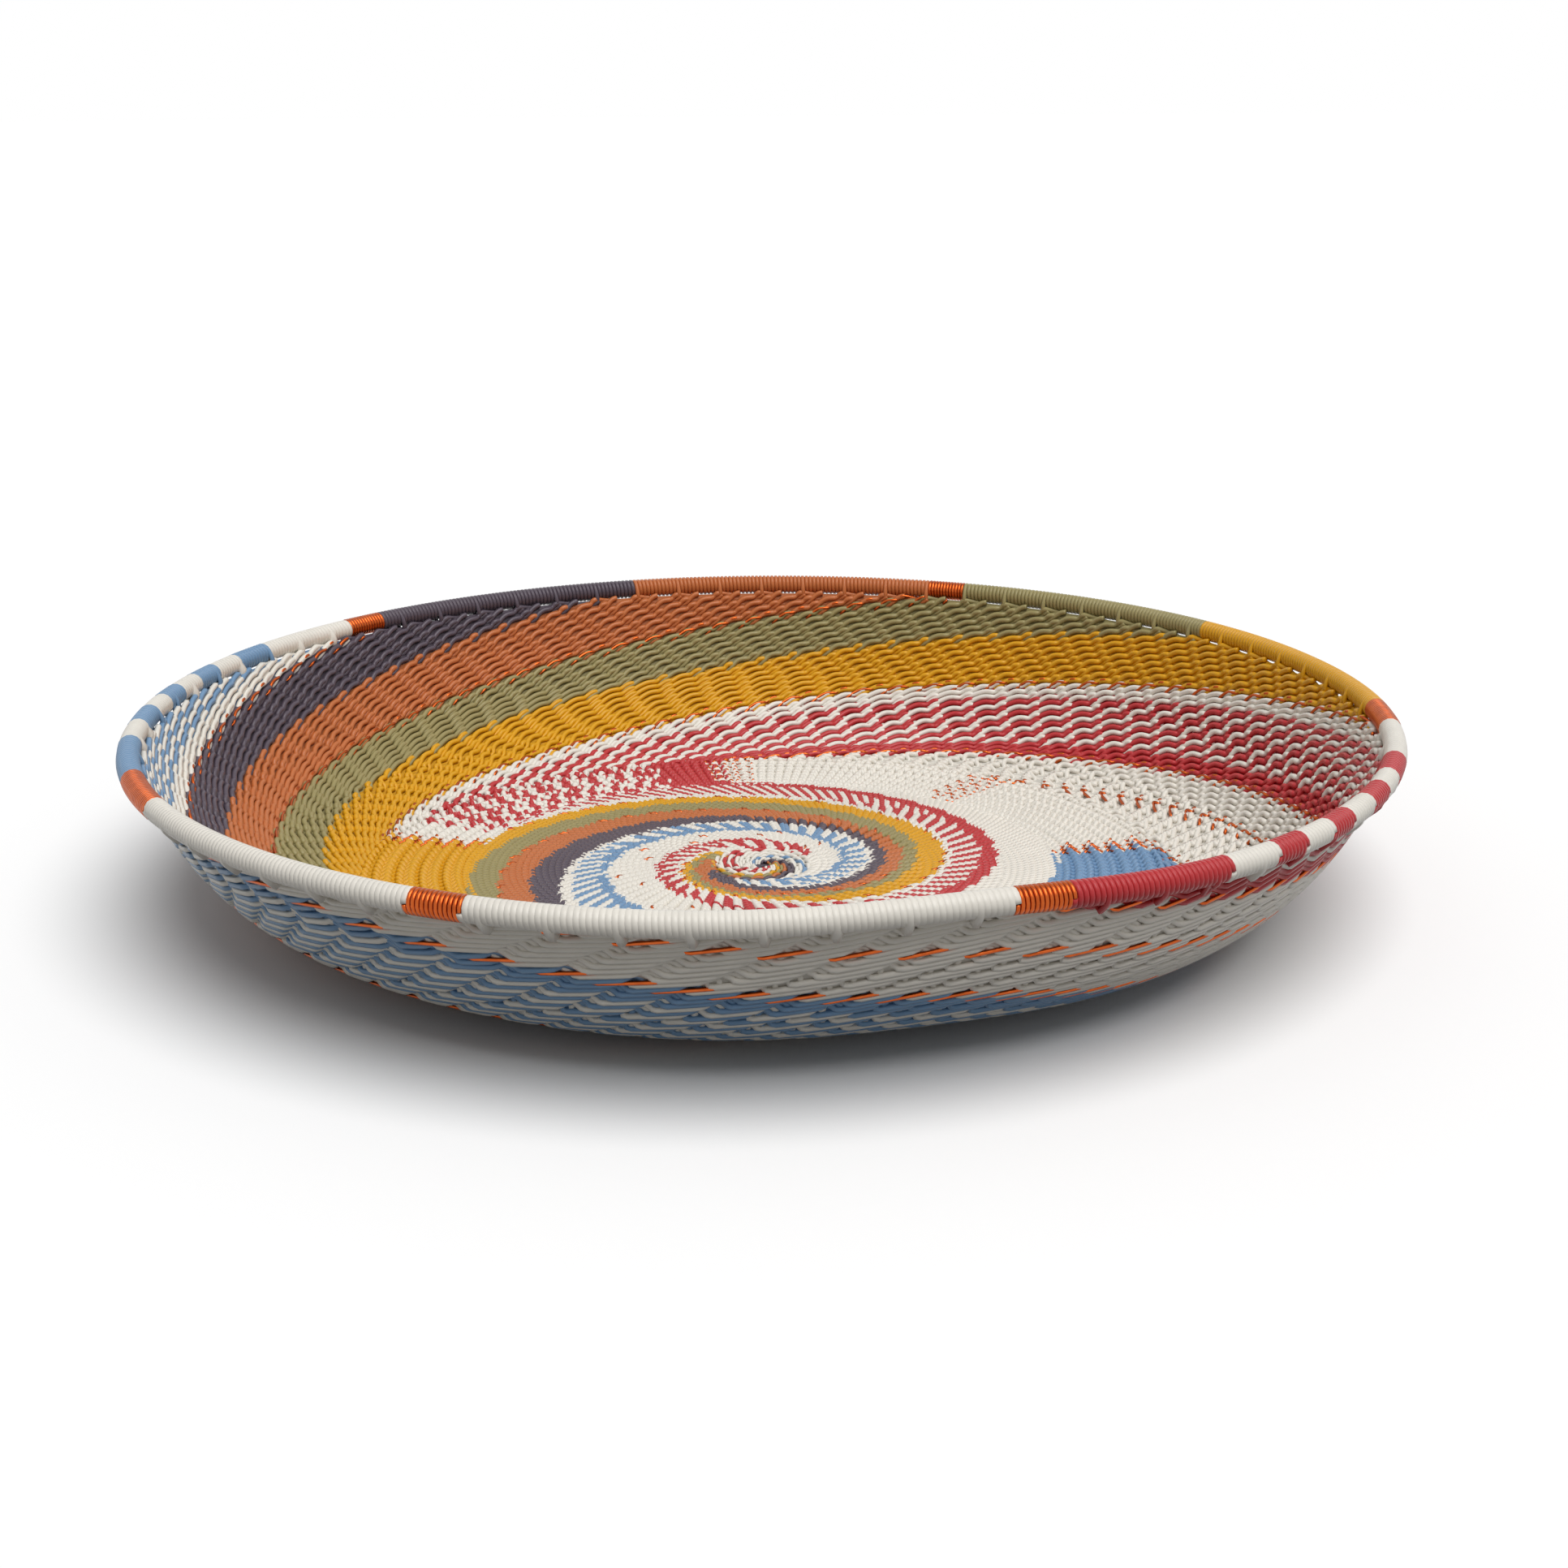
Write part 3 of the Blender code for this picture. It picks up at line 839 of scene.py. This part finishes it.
def rimWire(start, end, turns, radius, stitches):
    # a helix round the hoop; one turn in each stitch hangs lower and takes in the weave
    total = max(2, int(round(turns * (start - end) / 360)))
    share = np.linspace(0.0, 1.0, total * rim["steps"] + 1)
    angle = start + (end - start) * share
    around = 2 * np.pi * share * total
    distance = np.full(len(share), rim["hoopGap"] + rim["outerRadius"] - radius)
    if stitches:
        each = 360.0 * rim["perStitch"] / rim["turns"]
        away = (angle + each / 2) % each - each / 2
        hangs = np.abs(away) < each / rim["perStitch"] * rim["stitchWidth"]
        down = np.clip(-np.sin(around + rim["stitchLean"]), 0.0, 1.0) ** 2
        down *= np.where(np.cos(around) > 0, rim["stitchOutside"], 1.0)
        distance = distance + hangs * down * rim["stitchReach"]
    turn = np.radians(angle)
    outward = np.stack([np.cos(turn), np.sin(turn), np.zeros(len(turn))], axis=-1)
    hoopLine = tray["rimRadius"] * outward
    hoopLine[:, 2] = tray["rimHeight"] + rimLiftAt(angle)
    normals = np.cos(around)[:, None] * outward
    normals[:, 2] = np.sin(around)
    return hoopLine + distance[:, None] * normals, normals, radius


runStart = rimStart
for label, runEnd in rimRuns:
    colour = label.split("_")[0]
    tubes = Tubes()
    if colour == "copper":
        tubes.add(*rimWire(runStart, runEnd, rim["copperTurns"], rim["copperRadius"], False))
    else:
        radius = rim["whiteRadius"] if colour == "white" else rim["wireRadius"]
        tubes.add(*rimWire(runStart, runEnd, rim["turns"], radius, True))
    putOn(tubes.build("wrap_" + label, materials[colour]), "rim_" + label, colour + "_wire")
    runStart = runEnd
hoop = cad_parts["rim_hoop"]
hoop.data.materials.clear()
hoop.data.materials.append(materials["steel"])
print("stage: rim wrapped")

# Camera, floor and light.
stage = {
    "distance": 3.64,         # in rim radii
    "elevation": 15.1,
    "roll": 0.4,
    "lens": 51.06,
    "sensor": 36.0,
    "shiftX": 0.0144,
    "shiftY": -0.0471,
    "sunAzimuth": 300.0,
    "sunElevation": 65.0,
    "sunSpread": 50.0,
    "sunStrength": 2.36,
    "background": 0.34,
    "groundReach": 60.0,
    "groundDrop": 0.0002,
    "groundShade": 0.22,      # how bright the ground is as a source of light
}


def makeCamera():
    data = bpy.data.cameras.new("camera")
    data.sensor_width = stage["sensor"]
    data.lens = stage["lens"]
    data.shift_x = stage["shiftX"]
    data.shift_y = stage["shiftY"]
    camera = bpy.data.objects.new("camera", data)
    bpy.context.scene.collection.objects.link(camera)
    reach = stage["distance"] * tray["rimRadius"]
    rise = math.radians(stage["elevation"])
    target = Vector((0.0, 0.0, tray["rimHeight"]))
    eye = target + Vector((0.0, -reach * math.cos(rise), reach * math.sin(rise)))
    turn = (target - eye).to_track_quat("-Z", "Y").to_matrix()
    roll = Matrix.Rotation(math.radians(stage["roll"]), 3, "Z")
    camera.matrix_world = Matrix.Translation(eye) @ (turn @ roll.inverted()).to_4x4()
    bpy.context.scene.camera = camera


def makeGround():
    # white to the camera and in reflections, darker as a source of light
    reach = stage["groundReach"]
    corners = [(-reach, -reach, 0), (reach, -reach, 0), (reach, reach, 0), (-reach, reach, 0)]
    data = bpy.data.meshes.new("ground")
    data.from_pydata(corners, [], [(0, 1, 2, 3)])
    ground = bpy.data.objects.new("ground", data)
    ground.location.z = -stage["groundDrop"]
    bpy.context.scene.collection.objects.link(ground)
    tree = Tree("ground_look")
    tone = tree.mix(tree.seen(), [stage["groundShade"]] * 3 + [1.0], [1.0, 1.0, 1.0, 1.0])
    tree.set(tree.shader, {"Base Color": tone, "Roughness": 1.0, "Specular IOR Level": 0.0})
    data.materials.append(tree.owner)


def makeWorld():
    world = bpy.data.worlds.new("studio")
    bpy.context.scene.world = world
    tree = Tree(owner=world)
    tree.nodes.clear()
    soft, white = [tree.node("ShaderNodeBackground", None,
                             {"Color": [1.0, 1.0, 1.0, 1.0], "Strength": strength})
                   for strength in (stage["background"], 1.0)]
    mixed = tree.node("ShaderNodeMixShader", None, {0: tree.seen(), 1: soft, 2: white})
    tree.set(tree.nodes.new("ShaderNodeOutputWorld"), {"Surface": mixed})


def makeSun():
    data = bpy.data.lights.new("key", "SUN")
    data.angle = math.radians(stage["sunSpread"])
    data.energy = stage["sunStrength"]
    light = bpy.data.objects.new("key", data)
    bpy.context.scene.collection.objects.link(light)
    turn, rise = math.radians(stage["sunAzimuth"]), math.radians(stage["sunElevation"])
    flat = math.cos(rise)
    toward = Vector((flat * math.cos(turn), flat * math.sin(turn), math.sin(rise)))
    light.rotation_euler = toward.to_track_quat("Z", "Y").to_euler()


makeCamera()
makeGround()
makeWorld()
makeSun()
bpy.context.scene.view_settings.view_transform = "Standard"
print("stage: studio set")

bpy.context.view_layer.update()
